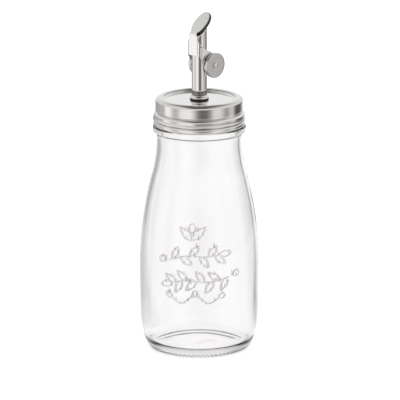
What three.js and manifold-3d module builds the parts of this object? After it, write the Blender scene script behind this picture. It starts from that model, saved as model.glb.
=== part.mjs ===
// Glass oil bottle with a two-piece screw lid and a gravity-flap pourer.
// Millimetres, +Z up, origin at the centre of the base, +X is the pouring side.
// The flap turns about a pin that runs along Y through the spout tube.

import * as THREE from "three";
import { mergeVertices } from "three/addons/utils/BufferGeometryUtils.js";
import Module from "manifold-3d";

const wasm = await Module();
wasm.setup();

const TURN = Math.PI * 2;
const FIT = 0.12; // clearance between pieces that are pressed or seated together

// Bottle
const BOTTLE_SEGMENTS = 48;
const TUBE_SEGMENTS = 48;
const RING_SEGMENTS = 36;
const PIN_SEGMENTS = 20;
const WALL = 2.6;
const CONTACT_RADIUS = 29.0;
const HEEL_RADIUS = 36.6;
const HEEL_HEIGHT = 26;
const BODY_PROFILE = [
  [36.64, 34], [36.84, 45], [36.85, 55], [36.44, 67], [35.36, 80], [33.4, 92.5],
  [30.75, 105.2], [28.95, 112], [27.7, 118], [26.88, 124.4], [26.5, 130.5],
];
const NECK_RADIUS = 26.4;
const NECK_RING = { low: 134.2, widest: 137.7, high: 140.2, radius: 28.8 };
const FINISH_RADIUS = 25.4;
const MOUTH_RADIUS = 22.6;
const MOUTH_TOP = 155.5;
const PUSH_UP_RADIUS = 23;
const PUSH_UP_HEIGHT = 1.5;
const FLOOR_THICKNESS = 4.2;

// Screw thread, shared by the glass finish and the band
const THREAD_PITCH = 3.0;
const THREAD_START = 142.5;
const THREAD_TURNS = 1.12;
const THREAD_START_ANGLE = THREE.MathUtils.degToRad(222);
const GLASS_THREAD = { radius: 25.5, bar: 0.95 };
const BAND_THREAD = { radius: 27.85, bar: 1.05 };

// Band
const BAND_RADIUS = 27.3;
const BAND_WALL = 0.45;
const BAND_BOTTOM = 141.0;
const BAND_TOP = 158.3;
const BAND_EYE_RADIUS = 22.1;

// Lid disc and its gasket
const PANEL_TOP = 156.7;
const DISC_SHEET = 0.5;
const DISC_RIM_TOP = 157.55;
const DISC_RADIUS = 26.2;
const GASKET = { inner: 22.9, outer: 25.9, low: 155.65, high: 156.9 };

// Spout
const TUBE_RADIUS = 4.8;
const TUBE_BORE = 4.2;
const TUBE_BOTTOM = 147;
const COLLAR = { radius: 5.85, low: 157.67, bead: 1.8 };
const FOOT_RING = { radius: 5.85, low: 156.82, high: 157.55 };
const WASHER = { radius: 8.6, thickness: 1.1 };
const NUT = { corner: 8.4, height: 2.6, chamfer: 0.5 };

// Flap: one bent sheet with a lid plate, a saddle in front of the tube and two cheeks
const SHEET = 0.55;
const PIVOT = { x: 0, z: 182.2, radius: 0.8 };
const FLAP_SLOPE = THREE.MathUtils.degToRad(42);
const FLAP_CENTRE = { x: 0.8, z: 204.8 };
const FLAP_LENGTH = 16.9;
const FLAP_WIDTH = 9.9;
const NECK_HALF_WIDTH = 2.6;
const SADDLE_FRONT = 5.6;
const CHEEK_FACE = 5.55;
const SADDLE_BEND = 2.2;
const SEAL_THICKNESS = 1.7;
const SEAL_LENGTH = 17.6;
const SEAL_WIDTH = 10.6;
const LUG_RADIUS = 5.4;

// Blocks that cut other solids reach well past them
const CUTTER = { long: 60, wide: 40 };
const BEYOND = 1;

// Counterweights
const WEIGHT = { x: 6.4, z: 178.1, radius: 7.9, thickness: 2.3, chamfer: 0.3 };
const WEIGHT_FACE = 8.15;
const RIVET = { radius: 1.0, head: 1.5, dome: 0.55 };

// ---------- solids ----------

function toSolid(geometry) {
  const flat = new THREE.BufferGeometry();
  flat.setAttribute("position", geometry.getAttribute("position"));
  if (geometry.index) flat.setIndex(geometry.index);
  const merged = mergeVertices(flat, 1e-4);
  const source = merged.index.array;
  const triangles = [];
  for (let i = 0; i < source.length; i += 3) {
    const [a, b, c] = [source[i], source[i + 1], source[i + 2]];
    if (a !== b && b !== c && c !== a) triangles.push(a, b, c);
  }
  const build = (list) => new wasm.Manifold(new wasm.Mesh({
    numProp: 3,
    vertProperties: new Float32Array(merged.getAttribute("position").array),
    triVerts: new Uint32Array(list),
  }));
  const solid = build(triangles);
  if (solid.volume() > 0) return solid;
  for (let i = 0; i < triangles.length; i += 3) {
    [triangles[i], triangles[i + 1]] = [triangles[i + 1], triangles[i]];
  }
  return build(triangles);
}

function fromSolid(solid) {
  const mesh = solid.getMesh();
  const stride = mesh.numProp;
  const positions = new Float32Array(mesh.numVert * 3);
  for (let i = 0; i < mesh.numVert; i += 1) {
    for (let axis = 0; axis < 3; axis += 1) {
      positions[i * 3 + axis] = mesh.vertProperties[i * stride + axis];
    }
  }
  const geometry = new THREE.BufferGeometry();
  geometry.setAttribute("position", new THREE.BufferAttribute(positions, 3));
  geometry.setIndex(Array.from(mesh.triVerts));
  geometry.computeVertexNormals();
  return geometry;
}

// profile: [radius, z] points of a loop, or of a line that starts and ends on the axis
function lathe(profile, segments = RING_SEGMENTS) {
  const onAxis = profile[0][0] === 0 && profile[profile.length - 1][0] === 0;
  const loop = onAxis ? profile : [...profile, profile[0]];
  const points = loop.map(([radius, z]) => new THREE.Vector2(radius, z));
  const geometry = new THREE.LatheGeometry(points, segments);
  geometry.rotateX(Math.PI / 2);
  return toSolid(geometry);
}

function ring(inner, outer, low, high, segments = RING_SEGMENTS) {
  return lathe([[inner, low], [outer, low], [outer, high], [inner, high]], segments);
}

// a straight pin along Y, centred on x, z
function pinAlongY(radius, y0, y1, x, z, segments = PIN_SEGMENTS) {
  const geometry = new THREE.CylinderGeometry(radius, radius, y1 - y0, segments);
  geometry.translate(x, (y0 + y1) / 2, z);
  return toSolid(geometry);
}

// an XZ outline pushed along Y from y0 to y1
function plateAlongY(shape, y0, y1, curveSegments = 10) {
  const geometry = new THREE.ExtrudeGeometry(shape, {
    depth: y1 - y0, bevelEnabled: false, curveSegments,
  });
  geometry.rotateX(Math.PI / 2);
  geometry.translate(0, y1, 0);
  return toSolid(geometry);
}

function arcPoints(cx, cy, radius, from, to, steps) {
  return Array.from({ length: steps + 1 }, (_, i) => {
    const angle = from + ((to - from) * i) / steps;
    return [cx + radius * Math.cos(angle), cy + radius * Math.sin(angle)];
  });
}

// a round bar on a rising spiral; both ends dive into the wall behind it
class ThreadPath extends THREE.Curve {
  constructor(radius, dive) {
    super();
    this.radius = radius;
    this.dive = dive;
  }

  getPoint(t, target = new THREE.Vector3()) {
    const angle = THREAD_START_ANGLE + t * THREAD_TURNS * TURN;
    const runOut = Math.max(0, 1 - Math.min(t, 1 - t) / 0.08);
    const radius = this.radius - this.dive * runOut * runOut;
    const z = THREAD_START + t * THREAD_TURNS * THREAD_PITCH;
    return target.set(radius * Math.cos(angle), radius * Math.sin(angle), z);
  }
}

function threadBar({ radius, bar }, dive) {
  const section = new THREE.Shape();
  section.absarc(0, 0, bar, 0, TURN, false);
  const geometry = new THREE.ExtrudeGeometry(section, {
    steps: 46, curveSegments: 3, bevelEnabled: false, extrudePath: new ThreadPath(radius, dive),
  });
  return toSolid(geometry);
}

// ---------- bottle ----------

function heelRadius(z) {
  const rest = 1 - z / HEEL_HEIGHT;
  return CONTACT_RADIUS + (HEEL_RADIUS - CONTACT_RADIUS) * Math.sqrt(1 - rest * rest);
}

function bottleOutside() {
  const heel = [0.25, 1, 2.5, 4.5, 7, 10, 14, 19, HEEL_HEIGHT].map((z) => [heelRadius(z), z]);
  const finish = [
    [NECK_RADIUS, NECK_RING.low - 1],
    [NECK_RADIUS + 0.3, NECK_RING.low],
    [NECK_RING.radius - 0.6, NECK_RING.widest - 1.2],
    [NECK_RING.radius, NECK_RING.widest],
    [NECK_RING.radius, NECK_RING.high - 0.6],
    [NECK_RING.radius - 0.6, NECK_RING.high],
    [FINISH_RADIUS, NECK_RING.high],
    [FINISH_RADIUS, MOUTH_TOP - 0.8],
    [FINISH_RADIUS - 0.8, MOUTH_TOP],
  ];
  return [...heel, ...BODY_PROFILE, ...finish];
}

function bottleInside() {
  const floor = PUSH_UP_HEIGHT + FLOOR_THICKNESS;
  const walls = BODY_PROFILE.filter(([, z]) => z > floor).map(([radius, z]) => [radius - WALL, z]);
  const heel = [7.8, 10, 12.5, 17, 24].map((z) => [heelRadius(z - WALL * 0.8) - WALL, z]);
  const valley = [
    [0, floor], [15, floor - 0.3], [20, floor - 0.6], [28.2, floor - 1.1], [30.2, floor - 0.5],
  ];
  const lower = [...valley, ...heel, ...walls];
  return [...lower, [23.4, 136], [MOUTH_RADIUS, 141], [MOUTH_RADIUS, MOUTH_TOP - 0.7],
    [MOUTH_RADIUS + 0.7, MOUTH_TOP]];
}

function bottle() {
  const under = [
    [0, PUSH_UP_HEIGHT], [14, PUSH_UP_HEIGHT - 0.05], [PUSH_UP_RADIUS, 0.9], [CONTACT_RADIUS - 2, 0],
    [CONTACT_RADIUS, 0],
  ];
  const profile = [...under, ...bottleOutside(), ...bottleInside().reverse()];
  const body = lathe(profile, BOTTLE_SEGMENTS);
  return body.add(threadBar(GLASS_THREAD, 0.9));
}

// ---------- lid ----------

function screwBand() {
  const inner = BAND_RADIUS - BAND_WALL;
  const curl = 0.85;
  const curlCentre = [BAND_RADIUS + 0.35, BAND_BOTTOM + curl];
  const curlArc = arcPoints(curlCentre[0], curlCentre[1], curl, -Math.PI / 2, Math.PI / 2, 7);
  const corner = arcPoints(BAND_RADIUS - 0.9, BAND_TOP - 0.9, 0.9, 0, Math.PI / 2, 4);
  const profile = [
    [inner, BAND_BOTTOM], ...curlArc, [BAND_RADIUS, BAND_BOTTOM + 2 * curl + 0.3],
    ...corner, [BAND_EYE_RADIUS + 0.25, BAND_TOP], [BAND_EYE_RADIUS, BAND_TOP - 0.25],
    [BAND_EYE_RADIUS + 0.2, BAND_TOP - BAND_WALL - 0.05], [inner - 0.6, BAND_TOP - BAND_WALL - 0.05],
    [inner, BAND_TOP - 1.1],
  ];
  const bar = threadBar(BAND_THREAD, 0.7);
  const bore = ring(10, inner, BAND_BOTTOM - 1, BAND_TOP - 1.2, BOTTLE_SEGMENTS);
  return lathe(profile, BOTTLE_SEGMENTS).add(bar.subtract(bore));
}

function lidDisc() {
  const hole = TUBE_RADIUS + FIT;
  const top = [
    [hole, PANEL_TOP], [20.6, PANEL_TOP], [21.1, PANEL_TOP + 0.2], [21.5, DISC_RIM_TOP - 0.15],
    [21.9, DISC_RIM_TOP], [DISC_RADIUS - 0.4, DISC_RIM_TOP], [DISC_RADIUS, DISC_RIM_TOP - 0.4],
  ];
  const under = [
    [DISC_RADIUS, DISC_RIM_TOP - DISC_SHEET], [22.1, DISC_RIM_TOP - DISC_SHEET],
    [21.9, PANEL_TOP - DISC_SHEET], [hole, PANEL_TOP - DISC_SHEET],
  ];
  return lathe([...top, ...under], BOTTLE_SEGMENTS);
}

function lidGasket() {
  return ring(GASKET.inner, GASKET.outer, GASKET.low, GASKET.high, BOTTLE_SEGMENTS);
}

// ---------- spout ----------

// the slanted plane of the lid plate, moved down along its own normal by depth
function belowFlap(geometry, depth) {
  geometry.rotateY(-FLAP_SLOPE);
  geometry.translate(
    FLAP_CENTRE.x + depth * Math.sin(FLAP_SLOPE), 0, FLAP_CENTRE.z - depth * Math.cos(FLAP_SLOPE),
  );
  return toSolid(geometry);
}

function spoutTube() {
  const tube = ring(TUBE_BORE, TUBE_RADIUS, TUBE_BOTTOM, FLAP_CENTRE.z + FLAP_WIDTH, TUBE_SEGMENTS);
  const gapDepth = SHEET + FIT + SEAL_THICKNESS + 0.2;
  const cutter = new THREE.BoxGeometry(CUTTER.long, CUTTER.wide, CUTTER.wide);
  cutter.translate(0, 0, CUTTER.wide / 2);
  const pinHole = pinAlongY(PIVOT.radius + FIT, -WEIGHT_FACE, WEIGHT_FACE, PIVOT.x, PIVOT.z);
  return tube.subtract(belowFlap(cutter, gapDepth)).subtract(pinHole);
}

function spoutCollar() {
  const inner = TUBE_RADIUS + FIT;
  const half = COLLAR.bead / 2;
  const bead = arcPoints(COLLAR.radius - half, COLLAR.low + half, half, -Math.PI / 2, Math.PI / 2, 6);
  return lathe([[inner, COLLAR.low], ...bead, [inner, COLLAR.low + COLLAR.bead]]);
}

function spoutRing() {
  return ring(TUBE_RADIUS + FIT, FOOT_RING.radius, FOOT_RING.low, FOOT_RING.high);
}

function spoutWasher() {
  const high = PANEL_TOP - DISC_SHEET - FIT;
  return ring(TUBE_RADIUS + FIT, WASHER.radius, high - WASHER.thickness, high);
}

function spoutNut() {
  const high = PANEL_TOP - DISC_SHEET - 2 * FIT - WASHER.thickness;
  const low = high - NUT.height;
  const { corner, chamfer } = NUT;
  const hexagon = lathe([
    [0, low], [corner - chamfer, low], [corner, low + chamfer], [corner, high - chamfer],
    [corner - chamfer, high], [0, high],
  ], 6);
  return hexagon.subtract(ring(0, TUBE_RADIUS + FIT, low - BEYOND, high + BEYOND));
}

// ---------- flap ----------

function flapOutline(length, width, neck) {
  const shape = new THREE.Shape();
  shape.absellipse(0, 0, length / 2, width / 2, 0, TURN, false);
  const plate = new THREE.ExtrudeGeometry(shape, { depth: 1, bevelEnabled: false, curveSegments: 24 });
  if (!neck) return [plate];
  const tongue = new THREE.BoxGeometry(4.4, 2 * NECK_HALF_WIDTH, 1);
  tongue.translate(-length / 2 + 2, 0, 0.5);
  return [plate, tongue];
}

function slantedPlate(length, width, neck, thickness, depth) {
  const pieces = flapOutline(length, width, neck).map((geometry) => {
    geometry.scale(1, 1, thickness);
    geometry.translate(0, 0, -thickness);
    return belowFlap(geometry, depth);
  });
  return pieces.reduce((sum, piece) => sum.add(piece));
}

// plan view of the U-shaped wrap: flat front, two round bends, two straight cheeks
function wrapSection(inset) {
  const front = -SADDLE_FRONT + inset;
  const side = CHEEK_FACE - inset;
  const bend = SADDLE_BEND - inset;
  const near = arcPoints(front + bend, -side + bend, bend, -Math.PI / 2, -Math.PI, 6);
  const far = arcPoints(front + bend, side - bend, bend, Math.PI, Math.PI / 2, 6);
  return [[16, -side], ...near, ...far, [16, side]];
}

function wrapChannel() {
  const outline = [...wrapSection(0), ...wrapSection(SHEET).reverse()];
  const shape = new THREE.Shape(outline.map(([x, y]) => new THREE.Vector2(x, y)));
  const geometry = new THREE.ExtrudeGeometry(shape, { depth: 40, bevelEnabled: false });
  geometry.translate(0, 0, 164);
  return toSolid(geometry);
}

// side view of the saddle and the cheeks
function cheekOutline() {
  const shape = new THREE.Shape();
  shape.moveTo(-SADDLE_FRONT - 1, 185.1);
  shape.lineTo(-4.9, 185.1);
  shape.quadraticCurveTo(-3.9, 183.6, -2.9, 181.9);
  shape.quadraticCurveTo(-1.2, 179.6, -1.1, 177.2);
  shape.quadraticCurveTo(-0.8, 174.2, WEIGHT.x - 3.9, WEIGHT.z - 3.7);
  shape.absarc(WEIGHT.x, WEIGHT.z, LUG_RADIUS, -2.38, 0.9, false);
  shape.quadraticCurveTo(5.4, 186.6, 3.0, 187.5);
  shape.quadraticCurveTo(0.6, 188.2, -1.0, 189.7);
  shape.quadraticCurveTo(-2.6, 190.6, -4.3, 190.3);
  shape.lineTo(-4.6, 191.2);
  shape.lineTo(-3.8, 191.9);
  shape.quadraticCurveTo(-5.2, 193.0, -5.45, 195.2);
  shape.lineTo(-5.45, 199.5);
  shape.lineTo(-SADDLE_FRONT - 1, 199.5);
  shape.closePath();
  return shape;
}

function flap() {
  const wrap = wrapChannel().intersect(plateAlongY(cheekOutline(), -9, 9, 8));
  const roof = new THREE.BoxGeometry(CUTTER.long, CUTTER.wide, CUTTER.wide);
  roof.translate(0, 0, CUTTER.wide / 2);
  const plate = slantedPlate(FLAP_LENGTH, FLAP_WIDTH, true, SHEET, 0);
  const pinHole = pinAlongY(PIVOT.radius + FIT, -WEIGHT_FACE, WEIGHT_FACE, PIVOT.x, PIVOT.z);
  const rivetHole = pinAlongY(RIVET.radius + FIT, -WEIGHT_FACE, WEIGHT_FACE, WEIGHT.x, WEIGHT.z);
  return wrap.subtract(belowFlap(roof, 0)).add(plate).subtract(pinHole).subtract(rivetHole);
}

function flapSeal() {
  return slantedPlate(SEAL_LENGTH, SEAL_WIDTH, false, SEAL_THICKNESS, SHEET + FIT)
    .subtract(plateAlongY(saddleKeepOut(), -9, 9));
}

// the saddle's sheet and a little air round it, kept free of the seal
function saddleKeepOut() {
  const inner = -SADDLE_FRONT + SHEET + 0.15;
  const shape = new THREE.Shape();
  shape.moveTo(-SADDLE_FRONT - 3, 180);
  shape.lineTo(inner, 180);
  shape.lineTo(inner, 212);
  shape.lineTo(-SADDLE_FRONT - 3, 212);
  shape.closePath();
  return shape;
}

function pivotPin() {
  const end = CHEEK_FACE;
  return pinAlongY(PIVOT.radius, -end, end, PIVOT.x, PIVOT.z);
}

// side: -1 is the -Y weight, 1 the +Y weight
function turned(profile, side, x, z, segments) {
  const geometry = new THREE.LatheGeometry(
    profile.map(([radius, y]) => new THREE.Vector2(radius, y * side)), segments,
  );
  geometry.translate(x, 0, z);
  return toSolid(geometry);
}

function weight(side) {
  const inner = WEIGHT_FACE - WEIGHT.thickness;
  const hole = RIVET.radius + FIT;
  const { radius, chamfer } = WEIGHT;
  const profile = [
    [hole, inner], [radius - chamfer, inner], [radius, inner + chamfer],
    [radius, WEIGHT_FACE - chamfer], [radius - chamfer, WEIGHT_FACE], [hole, WEIGHT_FACE],
    [hole, inner],
  ];
  return turned(profile, side, WEIGHT.x, WEIGHT.z, TUBE_SEGMENTS);
}

function rivet(side) {
  const seat = WEIGHT_FACE + FIT;
  const dome = Array.from({ length: 5 }, (_, i) => {
    const angle = (Math.PI / 2) * (i / 4);
    return [RIVET.head * Math.cos(angle), seat + RIVET.dome * Math.sin(angle)];
  });
  dome[dome.length - 1][0] = 0;
  const foot = CHEEK_FACE - SHEET;
  const profile = [[0, foot], [RIVET.radius, foot], [RIVET.radius, seat], ...dome];
  return turned(profile, side, WEIGHT.x, WEIGHT.z, PIN_SEGMENTS);
}

// ---------- assembly ----------

const STEEL = { roughness: 0.25, metalness: 1 };
const RUBBER = { roughness: 0.7, metalness: 0 };

const group = new THREE.Group();
group.name = "oil_bottle";

function place(name, solid, color, look) {
  const material = new THREE.MeshStandardMaterial({ color, ...look });
  const mesh = new THREE.Mesh(fromSolid(solid), material);
  mesh.name = name;
  group.add(mesh);
}

place("bottle", bottle(), 0xeef0f2, { roughness: 0.05, metalness: 0, transparent: true, opacity: 0.35 });
place("screw_band", screwBand(), 0xc4c2bf, { roughness: 0.35, metalness: 1 });
place("lid_disc", lidDisc(), 0xd6d5d3, STEEL);
place("lid_gasket", lidGasket(), 0xf2f2ee, RUBBER);
place("spout_tube", spoutTube(), 0xcfccc9, STEEL);
place("spout_collar", spoutCollar(), 0xcfccc9, STEEL);
place("spout_ring", spoutRing(), 0x141414, RUBBER);
place("spout_washer", spoutWasher(), 0x2a2a2a, RUBBER);
place("spout_nut", spoutNut(), 0xc8c6c3, STEEL);
place("pivot_pin", pivotPin(), 0xc8c6c3, STEEL);
place("flap", flap(), 0xdad8d6, STEEL);
place("flap_seal", flapSeal(), 0x141414, RUBBER);
place("weight_near", weight(-1), 0xb9b6b3, { roughness: 0.4, metalness: 1 });
place("weight_far", weight(1), 0xb9b6b3, { roughness: 0.4, metalness: 1 });
place("rivet_near", rivet(-1), 0xd2d0ce, STEEL);
place("rivet_far", rivet(1), 0xd2d0ce, STEEL);

export default group;
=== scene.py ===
"""Looks of a glass oil bottle with a screw lid and a gravity-flap pourer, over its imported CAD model."""

import math

import bmesh
import bpy
import numpy as np
from mathutils import Matrix, Vector
from mathutils.geometry import delaunay_2d_cdt


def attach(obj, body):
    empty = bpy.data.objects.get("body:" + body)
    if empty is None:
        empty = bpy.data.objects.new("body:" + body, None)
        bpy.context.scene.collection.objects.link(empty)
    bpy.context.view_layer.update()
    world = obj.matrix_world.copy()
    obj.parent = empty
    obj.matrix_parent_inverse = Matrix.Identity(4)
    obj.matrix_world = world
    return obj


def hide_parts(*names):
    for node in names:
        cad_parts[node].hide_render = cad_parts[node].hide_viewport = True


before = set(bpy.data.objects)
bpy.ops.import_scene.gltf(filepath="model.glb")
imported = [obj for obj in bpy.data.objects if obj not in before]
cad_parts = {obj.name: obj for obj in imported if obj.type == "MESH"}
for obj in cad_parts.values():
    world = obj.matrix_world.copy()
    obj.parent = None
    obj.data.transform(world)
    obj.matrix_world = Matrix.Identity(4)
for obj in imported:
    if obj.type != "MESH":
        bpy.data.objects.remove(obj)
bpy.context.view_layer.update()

MM = 0.001
TURN = 2 * math.pi

# Where the camera stands, and the side of the bottle that faces it
CAMERA_AZIMUTH = math.radians(-46)
CAMERA_DISTANCE = 3.6
CAMERA_HEIGHT = 1.0169
CAMERA_TARGET_HEIGHT = 0.0926
CAMERA_LENS = 541.6
CAMERA_SHIFT_X = 0.00175
FACING_ANGLE = math.radians(224)

# Bottle, in millimetres
CONTACT_RADIUS = 29.0
HEEL_RADIUS = 36.6
HEEL_HEIGHT = 26.0
BODY_POINTS = [
    (36.6, 26), (36.64, 34), (36.84, 45), (36.85, 55), (36.44, 67), (35.36, 80), (33.4, 92.5),
    (30.75, 105.2), (28.95, 112), (27.7, 118), (26.88, 124.4), (26.5, 130.5), (26.42, 133.4),
]
WIDEST = 36.85
WALL = 2.6
PUSH_UP_HEIGHT = 1.5
FLOOR_HEIGHT = 5.7
MOUTH_TOP = 155.5
KNURL_TEETH = 72
KNURL_HEIGHT = 1.0
KNURL_RADIUS = 30.0
KNURL_REACH = 1.4

# Embossed twigs: the part of the face they may cover, and their raised lines, in millimetres
EMBLEM_LOW = 30.0
EMBLEM_HIGH = 94.0
EMBLEM_HALF_ANGLE = math.radians(50)
EMBLEM_RADIUS = 36.0
EMBLEM_SHIFT = 1.5
EMBLEM_STEP = 0.42
EMBLEM_SWING = 0.40 / 36.8
OUTER_FACE = 32.2
SLOPE_STEP = 0.12
LINE_HALF_WIDTH = 0.68
LINE_HEIGHT = 0.6

# Screw band, in millimetres
BAND_RADIUS = 27.3
BAND_BOTTOM = 140.8
BAND_TOP = 158.3
BAND_EYE = 22.1

# Lid disc and spout, in millimetres
PANEL_TOP = 156.7
DISC_SHEET = 0.5
DISC_RIM_TOP = 157.55
DISC_RADIUS = 26.2
TUBE_RADIUS = 4.8
TUBE_BORE = 4.2
TUBE_BOTTOM = 147.0
COLLAR_RADIUS = 5.85
FOOT_TOP = 157.1
COLLAR_BEAD = 2.2

# Flap, in millimetres
SHEET = 0.55
SLOPE = math.radians(42)
FLAP_CENTRE = (0.8, 204.8)
FLAP_LENGTH = 16.9
FLAP_WIDTH = 9.9
SADDLE_FRONT = 5.6
CHEEK_FACE = 5.55
BEND = 2.2
SEAL = {"length": 17.6, "width": 10.6, "thickness": 1.7, "gap": 0.04}
WEIGHT = {"x": 6.4, "z": 178.1, "radius": 7.9, "thickness": 2.3, "face": 8.15}
RIVET = {"radius": 1.0, "head": 1.5, "dome": 0.55}
NECK_HALF_WIDTH = 2.6
LUG_RADIUS = 5.4
SADDLE_LOW = 185.1
FLAP_MESH_STEP = 0.42

# The surround that only reflections and the glass see, in metres
SURROUND_RADIUS = 0.9
SURROUND_MIDDLE = 0.15
SURROUND_FLOOR = -0.002


# ---------- meshes ----------


def make_object(name, vertices, faces, sharp_angle=35):
    """A smooth-shaded object from points in millimetres."""
    mesh = bpy.data.meshes.new(name)
    points = np.asarray(vertices, float) * MM
    mesh.from_pydata(points.tolist(), [], faces)
    mesh.validate()
    piece = bpy.data.objects.new(name, mesh)
    bpy.context.scene.collection.objects.link(piece)
    tidy_mesh(mesh)
    mesh.shade_smooth()
    mesh.set_sharp_from_angle(angle=math.radians(sharp_angle))
    return piece


def tidy_mesh(mesh):
    """Joins points that meet and turns every face outward."""
    work = bmesh.new()
    work.from_mesh(mesh)
    bmesh.ops.remove_doubles(work, verts=work.verts, dist=1e-7)
    bmesh.ops.dissolve_degenerate(work, dist=1e-8, edges=work.edges)
    bmesh.ops.recalc_face_normals(work, faces=work.faces)
    work.to_mesh(mesh)
    work.free()


def grid_faces(rows, columns, close_rows):
    """Quads of a grid that is closed round its columns, and round its rows if asked."""
    faces = []
    for row in range(rows if close_rows else rows - 1):
        above = (row + 1) % rows
        for column in range(columns):
            beside = (column + 1) % columns
            faces.append((
                row * columns + column, row * columns + beside,
                above * columns + beside, above * columns + column,
            ))
    return faces


def turned(name, profile, columns=128, sharp_angle=35):
    """A solid of revolution about Z. The profile is closed on itself or starts and ends on the axis."""
    angles = np.arange(columns) * TURN / columns
    radius = np.array([p[0] for p in profile])[:, None]
    height = np.array([p[1] for p in profile])[:, None] + 0 * angles[None, :]
    points = np.stack([radius * np.cos(angles), radius * np.sin(angles), height], axis=-1)
    on_axis = profile[0][0] == 0 and profile[-1][0] == 0
    faces = grid_faces(len(profile), columns, close_rows=not on_axis)
    return make_object(name, points.reshape(-1, 3), faces, sharp_angle)


def arc(cx, cz, radius, start, end, steps=8):
    """Points of an arc in a profile, angles in degrees."""
    return [
        (cx + radius * math.cos(math.radians(a)), cz + radius * math.sin(math.radians(a)))
        for a in np.linspace(start, end, steps + 1)
    ]


def smooth_curve(points, per_span):
    """A curve through the points, with its slope carried over from span to span."""
    pts = np.asarray(points, float)
    ends = np.vstack([2 * pts[0] - pts[1], pts, 2 * pts[-1] - pts[-2]])
    curve = []
    for i in range(1, len(ends) - 2):
        p0, p1, p2, p3 = ends[i - 1:i + 3]
        for t in np.arange(per_span) / per_span:
            curve.append(0.5 * (
                2 * p1 + (p2 - p0) * t + (2 * p0 - 5 * p1 + 4 * p2 - p3) * t * t
                + (3 * p1 - p0 - 3 * p2 + p3) * t ** 3
            ))
    curve.append(pts[-1])
    return [tuple(p) for p in curve]


def respaced(profile, step_at):
    """The same profile with points spaced by step_at(z)."""
    pts = np.asarray(profile, float)
    run = np.concatenate([[0], np.cumsum(np.hypot(*np.diff(pts, axis=0).T))])
    marks = [0.0]
    while marks[-1] < run[-1]:
        z = np.interp(marks[-1], run, pts[:, 1])
        marks.append(marks[-1] + step_at(z))
    marks = np.array(marks[:-1] + [run[-1]])
    return list(zip(np.interp(marks, run, pts[:, 0]), np.interp(marks, run, pts[:, 1])))


def rounded_edges(piece, width, segments=2, angle=40):
    """Rounds the piece's sharp edges by width millimetres and applies it."""
    bevel = piece.modifiers.new("edges", "BEVEL")
    bevel.width = width * MM
    bevel.segments = segments
    bevel.limit_method = "ANGLE"
    bevel.angle_limit = math.radians(angle)
    bevel.harden_normals = False
    apply_modifiers(piece)


def apply_modifiers(piece):
    """Replaces the piece's mesh with what its modifiers make of it."""
    graph = bpy.context.evaluated_depsgraph_get()
    mesh = bpy.data.meshes.new_from_object(piece.evaluated_get(graph))
    piece.modifiers.clear()
    piece.data = mesh
    mesh.shade_smooth()
    mesh.set_sharp_from_angle(angle=math.radians(35))


# ---------- embossed olive twigs ----------


def leaf(root, angle, length, width):
    """The outline of a leaf that grows from root along angle."""
    along = np.linspace(0, 1, 15)[:, None]
    half = width / 2 * np.sin(np.pi * along ** 0.85)
    direction = np.array([math.cos(angle), math.sin(angle)])
    normal = np.array([-direction[1], direction[0]])
    middle = np.asarray(root) + along * length * direction
    return [middle + half * normal, middle - half * normal]


def olive(stalk, angle, size):
    """The outline of one olive that hangs from its stalk."""
    around = np.linspace(0, TURN, 19)[:, None]
    direction = np.array([math.cos(angle), math.sin(angle)])
    normal = np.array([-direction[1], direction[0]])
    middle = np.asarray(stalk) + direction * size
    return [middle + np.cos(around) * size * direction + np.sin(around) * size * 0.75 * normal]


def twig(points, pairs, length, width, side_angle):
    """A curved stem with leaves on both sides in turn, and one at its tip."""
    stem = np.array(smooth_curve(points, 12))
    strokes = [stem]
    count = 2 * pairs
    for i in range(count):
        place = int((i + 0.4) / count * (len(stem) - 1))
        heading = stem[place + 1] - stem[place]
        angle = math.atan2(heading[1], heading[0]) + (side_angle if i % 2 == 0 else -side_angle)
        strokes += leaf(stem[place], angle, length, width)
    tip = stem[-1] - stem[-2]
    return strokes + leaf(stem[-1], math.atan2(tip[1], tip[0]), length, width)


def emblem_strokes():
    """Raised lines of olive twigs, in millimetres across and up the face of the bottle."""
    strokes = leaf((-3, 76), 2.35, 11, 4.2) + leaf((-3, 76), 0.75, 12, 4.4) + olive((-3, 80.5), 1.5, 2.8)
    strokes += twig([(-17, 63), (-6, 66), (6, 65.5), (14, 66.5)], 3, 8.5, 3.6, 0.85)
    strokes += twig([(20, 52), (8, 49.5), (-6, 50.5), (-15, 48.5)], 4, 8.5, 3.6, 0.85)
    strokes += olive((23, 53), 0.4, 2.4) + olive((-20, 64), 3.6, 2.4)
    for side in (-1, 1):
        swag = smooth_curve([(side * 2 - 1, 40.5), (side * 8 - 1, 36), (side * 15 - 1, 39.5)], 10)
        strokes += [np.array(swag)] + olive(swag[-1], 1.5 - side * 0.9, 2.0)
    return strokes + olive((-1, 40.5), 1.57, 1.8)


def raised_lines(s, z):
    """Height of the embossing at each point."""
    height = np.zeros_like(s)
    for stroke in emblem_strokes():
        low = stroke.min(0) - 1.0
        high = stroke.max(0) + 1.0
        near = (s > low[0]) & (s < high[0]) & (z > low[1]) & (z < high[1])
        if not near.any():
            continue
        p = np.stack([s[near], z[near]], axis=-1)
        best = np.full(len(p), 9.0)
        for a, b in zip(stroke[:-1], stroke[1:]):
            span = b - a
            length2 = max(float(span @ span), 1e-9)
            t = np.clip((p - a) @ span / length2, 0, 1)
            best = np.minimum(best, np.hypot(*(p - a - t[:, None] * span).T))
        ridge = np.cos(np.clip(best / LINE_HALF_WIDTH, 0, 1) * math.pi / 2) ** 2 * LINE_HEIGHT
        height[near] = np.maximum(height[near], ridge)
    return height


# ---------- bottle ----------


def from_front(angles):
    """Degrees rightward from the side that faces the camera."""
    return np.degrees((angles - FACING_ANGLE + math.pi) % TURN - math.pi)


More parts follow.
